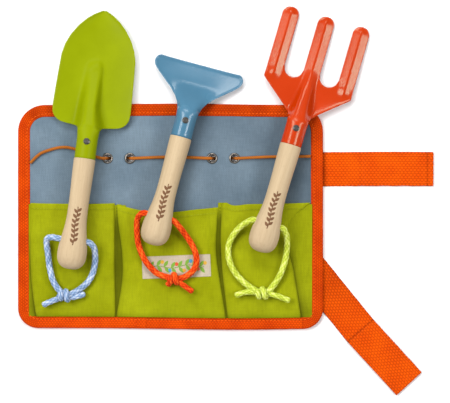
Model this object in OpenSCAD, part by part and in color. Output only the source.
// A child's garden tool belt, lying flat with its three hand tools on top.
// X runs along the belt, Y up the belt, Z away from the wearer. Z = 0 is the surface it lies on.

/* [Belt panel] */
// Width of the belt over its edge binding
belt_w = 275; // [265:1:280]
// Height of the belt over its edge binding
belt_h = 201; // [195:1:206]
// Radius of the two top corners
top_corner_r = 24; // [18:1:30]
// Radius of the two bottom corners
bottom_corner_r = 18; // [14:1:24]
// Width of the edge binding on each face
binding_w = 11; // [9:0.5:12]
// Height of the edge binding, which is folded round the panel's edge
binding_t = 5; // [4.8:0.1:5]
// Thickness of the panel cloth
panel_t = 0.9; // [0.6:0.1:0.9]

/* [Pockets] */
// Height of the pockets, from the bottom binding to their open tops
pocket_h = 100.5; // [90:0.5:102]
// Room between the panel and a pocket's front
pocket_room = 4.5; // [4.2:0.1:4.5]
// Thickness of the pocket cloth
pocket_t = 0.7; // [0.5:0.1:0.7]
// Distance of the left pocket seam from the belt's left edge
left_seam = 89.1; // [85:0.1:92]
// Distance of the right pocket seam from the belt's left edge
right_seam = 182.1; // [178:0.1:185]
// Width of the label patch
label_w = 61.4; // [40:0.2:66]
// Height of the label patch
label_h = 19.8; // [12:0.2:22]

/* [Elastic and eyelets] */
// Diameter of the elastic cord
elastic_d = 2.8; // [2:0.1:2.8]
// Distance of the left pair of eyelets from the belt's left edge
left_pair = 90.8; // [86:0.1:94]
// Distance of the right pair of eyelets from the belt's left edge
right_pair = 185; // [180:0.1:190]
// Distance between the two eyelets of a pair
eyelet_gap = 20.2; // [18:0.1:22]
// Height of the eyelets up the belt
eyelet_y = 38.5; // [38:0.5:40]
// Outer diameter of an eyelet's flange
eyelet_d = 10; // [9:0.5:11]
// Inner diameter of an eyelet
eyelet_bore = 6; // [5.6:0.1:6.2]

/* [Waist straps] */
// Width of the webbing
strap_w = 30; // [25:1:30]
// Thickness of the webbing
strap_t = 1.4; // [1:0.1:1.4]
// Visible length of the right strap
right_strap_len = 99.6; // [80:0.2:110]
// Room that the right strap has to bend beside the belt's edge
bend_room = 1.2; // [1.1:0.1:2]
// Height of the right strap's middle line up the belt
right_strap_y = 28.6; // [20:0.2:60]
// Height of the left strap's middle line up the belt
left_strap_y = 16; // [12:1:17]
// Distance along the left strap from the belt's edge to the fold behind the panel
fold_distance = 201; // [195:1:205]
// Angle that the left strap turns through at its fold
fold_turn = 51; // [45:1:55]
// Length of the left strap from its fold to the start of its loop patch
strap_run = 171; // [160:1:180]
// Length of the hook patch and of the loop patch
patch_len = 62; // [50:1:66]
// Thickness of the hook and loop patches
patch_t = 1.2; // [0.8:0.1:1.2]

/* [Tools] */
// Length of a wooden handle outside its socket
handle_len = 100; // [95:1:105]
// Largest diameter of a handle, in its rounded end
bulb_d = 26.4; // [22:0.2:26.4]
// Smallest diameter of a handle, at its waist
waist_d = 18; // [16:0.2:19]
// Outer diameter of the steel sockets
socket_d = 19; // [18:0.2:19.4]
// Thickness of the steel sheet
sheet_t = 1.2; // [0.8:0.1:1.4]
// Distance of the lanyard hole from the handle's rounded end
lanyard_hole_y = 26; // [24:0.5:27]
// Diameter of the lanyard hole
lanyard_hole_d = 6.4; // [6:0.1:7]
// Diameter of the braided lanyard cord
lanyard_d = 5.5; // [4:0.1:5.5]

/* [Hidden] */

$fn = 48;
slack = 0.3;              // room left between pieces that move apart
knot_fn = 16;
orange = [0.86, 0.25, 0.05];
lime = [0.6, 0.68, 0.05];
steel = [0.75, 0.75, 0.77];
wood = [0.87, 0.74, 0.58];

belt_x = -50;             // middle of the belt panel
belt_y = -14;
belt_left = belt_x - belt_w / 2;
belt_right = belt_x + belt_w / 2;
belt_bottom = belt_y - belt_h / 2;

// Layers from the surface up: strap end, strap, panel, pocket room, pocket front
strap_gap = 0.2;
strap_z = strap_t + strap_gap;
panel_z = 3.3;
panel_top = panel_z + panel_t;
pocket_top = panel_top + pocket_room + pocket_t;
pocket_seam_gap = 2;
pocket_margin = 0.2;
eyelet_x = [for (pair = [left_pair, right_pair]) for (side = [-1, 1])
    belt_left + pair + side * eyelet_gap / 2];
flange_t = 0.35;
barrel_wall = 0.4;
label_t = 0.5;
label_pos = [-44.6, -59];
label_turn = 2.2;

// Left strap: it runs right behind the panel, folds over a slanting crease and comes out below
fold_pos = [belt_left + fold_distance, left_strap_y];
patch_turn = 47.5;
run_dir = [cos(fold_turn), -sin(fold_turn)];
patch_dir = [cos(patch_turn), -sin(patch_turn)];
patch_start = fold_pos + strap_run * run_dir;

// A tool lies in a frame of its own: Y along the handle from its rounded end, Z up.
// Each is [rounded end's X and Y, lean from the belt's Y axis, dip towards the head].
trowel = [[-139.7, -61], 7.5, 3.6];
hoe = [[-66.2, -39.2], 15, 3.9];
fork = [[30.2, -45.5], 16.3, 3.9];
bulb_y = 14;
waist_y = 60;
bulb_z = pocket_top + bulb_d / 2 + 0.3;
handle_top_r = 9.75;
tenon_r = 8.3;
tenon_gap = 0.1;
trowel_socket_end = 133;
hoe_socket_end = 124;
fork_socket_end = 125;
plug_len = 5;             // solid end of a socket, past the tenon
screw_y = 115;
screw_r = 1.5;
screw_head_r = 2.85;
blade_z = -6.3;           // face of a blade's middle under the handle's axis
across = [-1, -0.85, -0.6, -0.3, 0, 0.3, 0.6, 0.85, 1];    // places across a blade's half width

// Half widths of the heads: [distance from the handle's rounded end, half width]
trowel_outline = [[128.5, 8], [131, 11], [134, 24], [137, 31], [142, 34.3], [180, 33.6], [192, 33],
    [201, 31], [210, 27], [219, 21], [226, 14.5], [231, 8], [234, 1.5]];
hoe_outline = [[119.5, 8], [127, 10], [134, 13], [139, 17], [144, 22], [151, 31], [157, 38],
    [160, 40], [165, 40], [168, 37.5]];
fork_outline = [[120.5, 8], [128, 10], [132, 12.7], [154.5, 40.2], [160, 40.6]];
tine_pitch = 33;
tine_w = 14.6;
tine_end = 221;
crotch_y = 159.5;

// Middle lines of the cords, from the left mouth of the lanyard hole round to its right mouth
trowel_route = [[-136.8, -35.2, 22.3], [-148.5, -33.7, 22.2], [-155.5, -32.5, 20], [-160.3, -33.6, 16.5],
    [-161, -39, 14], [-159.8, -48, 13], [-158.3, -60, 13], [-155.6, -71, 13], [-150.8, -79, 13],
    [-144.5, -84.5, 14], [-138, -83, 13.2], [-130.5, -78.5, 13], [-124, -72.5, 13], [-119.8, -65, 13],
    [-117.8, -56, 13], [-117.6, -48, 15], [-118.6, -41.5, 19], [-123.5, -37, 22.2], [-135.8, -35.3, 22.3]];
hoe_route = [[-60, -14.1, 22.3], [-71.5, -11, 22.2], [-76.5, -11.8, 19.5], [-79.6, -17, 15.5],
    [-80, -26, 13], [-78.8, -38, 13], [-74.3, -50.5, 13], [-67.5, -60, 13], [-60, -66, 13.3],
    [-46.8, -69.5, 14], [-40, -69.2, 13.5], [-33.5, -66, 13], [-28.6, -61, 13.3],
    [-26.4, -54, 13.3], [-27.6, -46, 13], [-31.3, -38, 13.2], [-37, -29.5, 15.5], [-42.5, -22.5, 19.5],
    [-47.5, -17.6, 22.2], [-59, -14.3, 22.3]];
fork_route = [[37, -20.5, 22.3], [24.6, -16.9, 22.1], [19.5, -18.8, 20], [13, -23, 16],
    [6.7, -30.5, 13.5], [2.8, -38.5, 13], [1.9, -47, 13], [4, -56.5, 13], [9, -65.5, 13], [16, -73, 13],
    [24.5, -79, 13], [32.6, -82.5, 14], [38.5, -80.5, 13.2], [44, -74, 13], [48.8, -66, 13],
    [52, -57.5, 13], [54, -49, 13], [54.8, -40, 14], [54.6, -32.5, 17], [52.5, -27, 20.5],
    [50, -24.3, 22.1], [38, -20.7, 22.3]];
elastic_front_z = 6;
elastic_back_z = 1.5;
elastic_left = [[-176.3, 34.2, 6], [-169.5, 41, 6], [-163, 44.6, 6], [-148.7, 48.3, 6],
    [-136, 46.8, 6], [-117, 39.8, 6]];
elastic_middle = [[-49.5, 39.6, 6]];
elastic_right = [[40, 39.8, 6], [76.2, 40.2, 6]];

// Shared shapes

module outline(w, h, top_r, bottom_r) {
    x = w / 2;
    y = h / 2;
    for (side = [-1, 1]) {
        translate([side * (x - top_r), y - top_r]) circle(top_r);
        translate([side * (x - bottom_r), bottom_r - y]) circle(bottom_r);
        translate([side < 0 ? -x : 0, bottom_r - y]) square([x, h - bottom_r - top_r]);
    }
    translate([top_r - x, y - top_r]) square([w - 2 * top_r, top_r]);
    translate([bottom_r - x, -y]) square([w - 2 * bottom_r, bottom_r]);
}

module belt_outline(inset) {
    translate([belt_x, belt_y])
        outline(belt_w - 2 * inset, belt_h - 2 * inset, top_corner_r - inset, bottom_corner_r - inset);
}

function unit(v) = v / norm(v);

// A tube along a route, one polyhedron, with one ring of sides at each point of the route
function tangent(route, i) =
    unit(route[min(i + 1, len(route) - 1)] - route[max(i - 1, 0)]);

function ring(route, i, r, sides, up) =
    let (t = tangent(route, i), side = unit(cross(t, up)), over = cross(side, t))
    [for (k = [0:sides - 1])
        route[i] + r * (cos(360 * k / sides) * side + sin(360 * k / sides) * over)];

module tube(route, d, sides, up = [0, 0, 1]) {
    last = len(route) - 1;
    points = [for (i = [0:last]) each ring(route, i, d / 2, sides, up)];
    walls = [for (i = [0:last - 1]) for (k = [0:sides - 1])
        let (a = i * sides, b = a + sides, next = (k + 1) % sides)
        [a + k, a + next, b + next, b + k]];
    start_cap = [[for (k = [sides - 1:-1:0]) k]];
    end_cap = [[for (k = [0:sides - 1]) last * sides + k]];
    polyhedron(points, concat(walls, start_cap, end_cap));
}

// A sheet of steel whose face passes through a grid of points, given as rows of equal length
module sheet(rows, t) {
    n = len(rows);
    m = len(rows[0]);
    top = [for (row = rows) each row];
    bottom = [for (p = top) p - [0, 0, t]];
    under = n * m;
    cells = [for (i = [0:n - 2]) for (j = [0:m - 2]) i * m + j];
    faces = [for (a = cells) let (b = a + 1, c = b + m, d = a + m)
        each [[c, b, a], [d, c, a], [under + b, under + c, under + a], [under + c, under + d, under + a]]];
    first = [for (j = [0:m - 2]) [j, j + 1]];
    right = [for (i = [1:n - 1]) [i * m - 1, (i + 1) * m - 1]];
    last = [for (j = [m - 1:-1:1]) [(n - 1) * m + j, (n - 1) * m + j - 1]];
    left = [for (i = [n - 1:-1:1]) [i * m, (i - 1) * m]];
    sides = [for (e = concat(first, right, last, left)) [under + e[1], under + e[0], e[0], e[1]]];
    polyhedron(concat(top, bottom), concat(faces, sides));
}

// Straps

module strap_piece(start, turn, length, z, t, w = strap_w) {
    translate([start[0], start[1], z]) rotate([0, 0, -turn]) translate([0, -w / 2, 0]) cube([length, w, t]);
}

// The half of the plane beyond the left strap's crease
module beyond_crease() {
    reach = 500;
    translate(fold_pos) rotate([0, 0, -fold_turn / 2])
        translate([-reach, -slack / 2]) square([2 * reach, reach]);
}

module left_strap() {
    color(orange) translate([0, 0, strap_z]) linear_extrude(strap_t) difference() {
        translate([belt_left + slack, left_strap_y - strap_w / 2])
            square([fold_distance + 2 * strap_w, strap_w]);
        beyond_crease();
    }
}

module left_strap_end() {
    lap = 3;
    color(orange) {
        linear_extrude(strap_t) difference() {
            translate(fold_pos) rotate([0, 0, -fold_turn]) translate([-2 * strap_w, -strap_w / 2])
                square([strap_run + 2 * strap_w, strap_w]);
            beyond_crease();
        }
        strap_piece(patch_start - lap * patch_dir, patch_turn, patch_len + lap + 3, patch_t, strap_t);
    }
}

module left_strap_loop_patch() {
    color([0.55, 0.16, 0.03])
        strap_piece(patch_start + 1.5 * patch_dir, patch_turn, patch_len, 0, patch_t, strap_w - 2);
}

module right_strap() {
    lap = 3;
    step = right_strap_len - patch_len - 3;
    color(orange) {
        strap_piece([belt_right + bend_room, right_strap_y], 0, step - bend_room, 0, strap_t);
        strap_piece([belt_right + step - lap, right_strap_y], 0, patch_len + lap + 3, patch_t, strap_t);
    }
}

module right_strap_hook_patch() {
    color([0.4, 0.12, 0.03])
        strap_piece([belt_right + right_strap_len - patch_len - 1.5, right_strap_y], 0, patch_len, 0,
            patch_t, strap_w - 2);
}

// Belt

module back_panel() {
    seam_depth = 3;
    color([0.3, 0.38, 0.44]) translate([0, 0, panel_z]) linear_extrude(panel_t) difference() {
        belt_outline(seam_depth);
        for (x = eyelet_x) translate([x, eyelet_y]) circle(eyelet_bore / 2 + 0.4);
    }
}

module edge_binding() {
    seam_depth = 3;
    color(orange) difference() {
        linear_extrude(binding_t) difference() {
            belt_outline(0);
            belt_outline(binding_w);
        }
        translate([0, 0, panel_z]) linear_extrude(panel_t) belt_outline(seam_depth);
        // Room for the two passes of the left strap under the binding
        translate([belt_left - 1, left_strap_y - strap_w / 2 - slack, -1])
            cube([binding_w + 2, strap_w + 2 * slack, panel_z + 1]);
        strap_piece(fold_pos + (strap_run - 90) * run_dir, fold_turn, 80, -1, strap_t + slack + 1,
            strap_w + 2 * slack);
    }
}

// A pocket is a shallow pouch that the panel closes at the back and that is open at its top
module pocket(left, right) {
    bottom = belt_bottom + binding_w + pocket_margin;
    depth = pocket_top - panel_top;
    color(lime) translate([left, bottom, panel_top]) difference() {
        cube([right - left, pocket_h, depth]);
        translate([pocket_t, pocket_t, -1])
            cube([right - left - 2 * pocket_t, pocket_h, depth - pocket_t + 1]);
    }
}

module pocket_left() {
    pocket(belt_left + binding_w + pocket_margin, belt_left + left_seam - pocket_seam_gap / 2);
}

module pocket_middle() {
    pocket(belt_left + left_seam + pocket_seam_gap / 2, belt_left + right_seam - pocket_seam_gap / 2);
}

module pocket_right() {
    pocket(belt_left + right_seam + pocket_seam_gap / 2, belt_right - binding_w - pocket_margin);
}

module label_patch() {
    color([0.85, 0.82, 0.76]) translate([label_pos[0], label_pos[1], pocket_top]) rotate([0, 0, label_turn])
        translate([-label_w / 2, -label_h / 2, 0]) cube([label_w, label_h, label_t]);
}

module eyelets() {
    color(steel) for (x = eyelet_x) translate([x, eyelet_y, 0]) difference() {
        union() {
            translate([0, 0, panel_top]) cylinder(h = flange_t, d = eyelet_d);
            translate([0, 0, panel_z - flange_t])
                cylinder(h = panel_t + flange_t, r = eyelet_bore / 2 + barrel_wall);
        }
        cylinder(h = 2 * panel_top, d = eyelet_bore);
    }
}

module eyelet_washers() {
    color(steel) for (x = eyelet_x) translate([x, eyelet_y, panel_z - flange_t]) difference() {
        cylinder(h = flange_t, d = eyelet_d);
        translate([0, 0, -1]) cylinder(h = 2, r = eyelet_bore / 2 + barrel_wall);
    }
}

// The elastic dips through each eyelet: down at the first and third, up at the second and fourth
function dip(x, down) = let (f = elastic_front_z, b = elastic_back_z, z = down ? [f, b] : [b, f])
    [[x - 4, eyelet_y, z[0]], [x - 1.4, eyelet_y, down ? f - 0.1 : b + 0.1], [x, eyelet_y, (f + b) / 2],
     [x + 1.4, eyelet_y, down ? b + 0.1 : f - 0.1], [x + 4, eyelet_y, z[1]]];

module elastic_cord() {
    route = concat(elastic_left, dip(eyelet_x[0], true), dip(eyelet_x[1], false), elastic_middle,
        dip(eyelet_x[2], true), dip(eyelet_x[3], false), elastic_right);
    color([0.78, 0.4, 0.13]) tube(route, elastic_d, 8, [0, 1, 0]);
}

// Tools

module place(tool) {
    translate([tool[0][0], tool[0][1], bulb_z + bulb_y * sin(tool[2])])
        rotate([0, 0, -tool[1]]) rotate([-tool[2], 0, 0]) children();
}

module along_y(y) {
    translate([0, y, 0]) rotate([-90, 0, 0]) children();
}

// A smooth step from 0 at the start to 1 at the end
function ease(y, start, end) = (1 - cos(180 * (y - start) / (end - start))) / 2;

// Radius of a handle at a distance from its rounded end: a blunt round end, a waist, and a straight top
function handle_r(y) = let (bulb = bulb_d / 2, waist = waist_d / 2)
    y < bulb_y ? bulb * pow(1 - pow((bulb_y - y) / bulb_y, 2.5), 1 / 2.5)
    : y < waist_y ? waist + (bulb - waist) * pow(1 - ease(y, bulb_y, waist_y), 2)
    : waist + (handle_top_r - waist) * ease(y, waist_y, handle_len);

module handle(tool, socket_end) {
    end_steps = [0, 0.3, 1, 2, 3.5, 5.5, 8, 11];
    steps = concat(end_steps, [for (y = [bulb_y:4:handle_len - 1]) y], [handle_len]);
    tenon_end = socket_end - plug_len;
    profile = concat([for (y = steps) [handle_r(y), y]],
        [[tenon_r, handle_len], [tenon_r, tenon_end], [0, tenon_end]]);
    color(wood) place(tool) difference() {
        rotate([-90, 45, 0]) rotate_extrude() polygon(profile);
        translate([0, lanyard_hole_y, 0]) rotate([0, 90, 0])
            cylinder(h = 2 * bulb_d, d = lanyard_hole_d, center = true);
        translate([0, screw_y, -3]) cylinder(h = bulb_d, r = screw_r + 0.1);
    }
}

module screw(tool) {
    head_z = socket_d / 2 + 0.02;
    color(steel) place(tool) translate([0, screw_y, 0]) difference() {
        union() {
            translate([0, 0, -2]) cylinder(h = head_z + 2, r = screw_r);
            translate([0, 0, head_z]) cylinder(h = 0.6, r = screw_head_r);
            translate([0, 0, head_z + 0.6]) cylinder(h = 0.7, r1 = screw_head_r, r2 = 1.6);
        }
        for (a = [0, 90]) rotate([0, 0, a]) translate([-1.5, -0.3, head_z + 0.7]) cube([3, 0.6, 1]);
    }
}

module socket(end) {
    difference() {
        along_y(handle_len + tenon_gap) cylinder(h = end - handle_len, d = socket_d);
        along_y(handle_len - 1)
            cylinder(h = end - plug_len - handle_len + 1 + tenon_gap, r = tenon_r + tenon_gap);
        translate([0, screw_y, 0]) cylinder(h = socket_d, r = screw_r + 0.1);
    }
}

// The raised rib that runs from a socket into its blade
module rib(start, end, end_r, end_z) {
    hull() {
        along_y(start) cylinder(h = 1, r = socket_d / 2 - 0.1);
        translate([0, end, end_z]) sphere(end_r, $fn = 24);
    }
}

// Rows of points across a blade: its outline gives the half widths, rise lifts the edges
function blade_rows(outline, ys, face) =
    [for (y = ys) let (w = lookup(y, outline)) [for (s = across) [s * w, y, face(y, s)]]];

module trowel_head() {
    dish = 4;
    ys = sorted(concat([for (p = trowel_outline) p[0]], [150, 165]));
    face = function (y, s) blade_z + dish * pow(abs(s), 2.2) * min(1, (y - 120) / 20);
    rows = blade_rows(trowel_outline, ys, face);
    // resize() to nothing keeps the whole stamping one mesh
    color(lime) place(trowel) resize([0, 0, 0]) union() {
        socket(trowel_socket_end);
        rib(trowel_socket_end - 4, 186, 2.2, blade_z - 0.4);
        sheet(rows, sheet_t);
    }
}

module hoe_head() {
    bend_y = 148;
    bend_slope = 0.16;
    ys = sorted(concat([for (p = hoe_outline) p[0]], [bend_y]));
    face = function (y, s) blade_z - max(0, y - bend_y) * bend_slope + 1.5 * pow(abs(s), 3);
    rows = blade_rows(hoe_outline, ys, face);
    color([0.35, 0.57, 0.7]) place(hoe) resize([0, 0, 0]) union() {
        socket(hoe_socket_end);
        rib(hoe_socket_end - 4, 150, 2.2, blade_z - 0.4);
        sheet(rows, sheet_t);
    }
}

// One creased tine: it starts in the shoulder plate and ends in a rounded tip
module tine(x) {
    tip = tine_w / 2;
    start = crotch_y - 6;
    ys = [start, crotch_y + 6, tine_end - tip, tine_end - 0.55 * tip, tine_end - 0.2 * tip, tine_end];
    half = function (y) y < tine_end - tip ? tip : max(1, sqrt(pow(tip, 2) - pow(y - tine_end + tip, 2)));
    crease = 2.2;
    rows = [for (y = ys) [for (s = [-1, -0.5, 0, 0.5, 1])
        [x + s * half(y), y, blade_z + crease * (1 - abs(s)) * half(y) / tip]]];
    sheet(rows, 1.6);
}

module fork_head() {
    rise = 1.5;
    ys = sorted(concat([for (p = fork_outline) p[0]], [142]));
    face = function (y, s) blade_z + rise * pow(abs(s), 3);
    rows = blade_rows(fork_outline, ys, face);
    gap = tine_pitch - tine_w;
    color([0.8, 0.3, 0.12]) place(fork) resize([0, 0, 0]) union() {
        socket(fork_socket_end);
        rib(fork_socket_end - 4, 160, 2.4, blade_z - 0.2);
        difference() {
            sheet(rows, 1.6);
            for (x = [-0.5, 0.5]) translate([x * tine_pitch, crotch_y + gap / 2, -15])
                cylinder(h = 20, d = gap);
        }
        for (x = [-1, 0, 1]) tine(x * tine_pitch);
    }
}

function sorted(v) = len(v) < 2 ? v : let (p = v[0])
    concat(sorted([for (x = v) if (x < p) x]), [p], sorted([for (x = v) if (x > p) x]));

// Lanyards

module lanyard(route, tint) {
    color(tint) tube(route, lanyard_d, 10);
}

// An overhand knot with two tails, each given as its way to its cut end
module knot(centre, turn, left_tail, right_tail, tint) {
    tail_r = lanyard_d / 2 - 0.1;
    color(tint) {
        translate(centre) rotate([0, 0, turn]) hull() for (x = [-3, 3])
            translate([x, 0, 0.3]) scale([1, 1.2, 0.9]) sphere(5, $fn = knot_fn);
        for (tail = [left_tail, right_tail]) hull() {
            translate(centre - [0, 0, 1]) sphere(tail_r, $fn = knot_fn);
            translate([tail[0], tail[1], pocket_top + lanyard_d / 2 + 0.9]) sphere(tail_r, $fn = knot_fn);
        }
    }
}

sky = [0.55, 0.64, 0.75];
red = [0.85, 0.25, 0.03];
lemon = [0.78, 0.84, 0.2];

module trowel_handle() { handle(trowel, trowel_socket_end); }
module trowel_screw() { screw(trowel); }
module trowel_lanyard() { lanyard(trowel_route, sky); }
module trowel_knot() { knot([-144.5, -84.5, 15], 5, [-164, -93], [-127.5, -83], sky); }

module hoe_handle() { handle(hoe, hoe_socket_end); }
module hoe_screw() { screw(hoe); }
module hoe_lanyard() { lanyard(hoe_route, red); }
module hoe_knot() { knot([-46.8, -69.5, 15], -15, [-54.5, -76.5], [-30, -81.5], red); }

module fork_handle() { handle(fork, fork_socket_end); }
module fork_screw() { screw(fork); }
module fork_lanyard() { lanyard(fork_route, lemon); }
module fork_knot() { knot([32.6, -82.5, 15], -20, [9, -84.5], [57, -89.5], lemon); }

back_panel();
edge_binding();
pocket_left();
pocket_middle();
pocket_right();
label_patch();
eyelets();
eyelet_washers();
elastic_cord();
right_strap();
right_strap_hook_patch();
left_strap();
left_strap_end();
left_strap_loop_patch();
trowel_head();
trowel_handle();
trowel_screw();
trowel_lanyard();
trowel_knot();
hoe_head();
hoe_handle();
hoe_screw();
hoe_lanyard();
hoe_knot();
fork_head();
fork_handle();
fork_screw();
fork_lanyard();
fork_knot();
